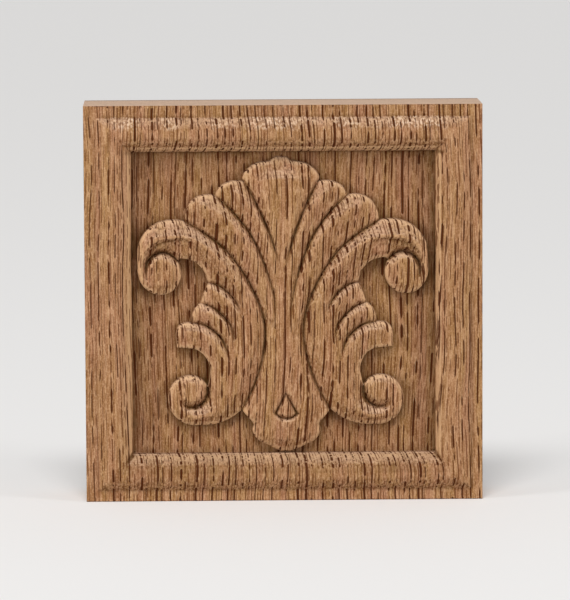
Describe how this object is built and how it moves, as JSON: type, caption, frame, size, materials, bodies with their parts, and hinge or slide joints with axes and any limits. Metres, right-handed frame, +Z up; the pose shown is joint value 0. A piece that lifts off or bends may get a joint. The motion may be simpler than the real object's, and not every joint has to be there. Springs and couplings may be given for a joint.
{
  "type": "carved corner rosette",
  "caption": "Square oak corner block for door and window casing, its face carved with a palmette of leaves and scrolls in a beaded frame.",
  "frame": {"origin": "middle of the bottom edge face, half way through the block's depth", "axes": "+Z up the grain, -Y out of the carved face, +Y out of the plain back, +X to the right of someone facing the carving"},
  "size_m": [0.095, 0.022, 0.095],
  "materials": {
    "red_oak": "bare sanded red oak with open dark pores"
  },
  "bodies": {
    "root": {"carved_rosette": "red_oak"}
  },
  "joints": []
}
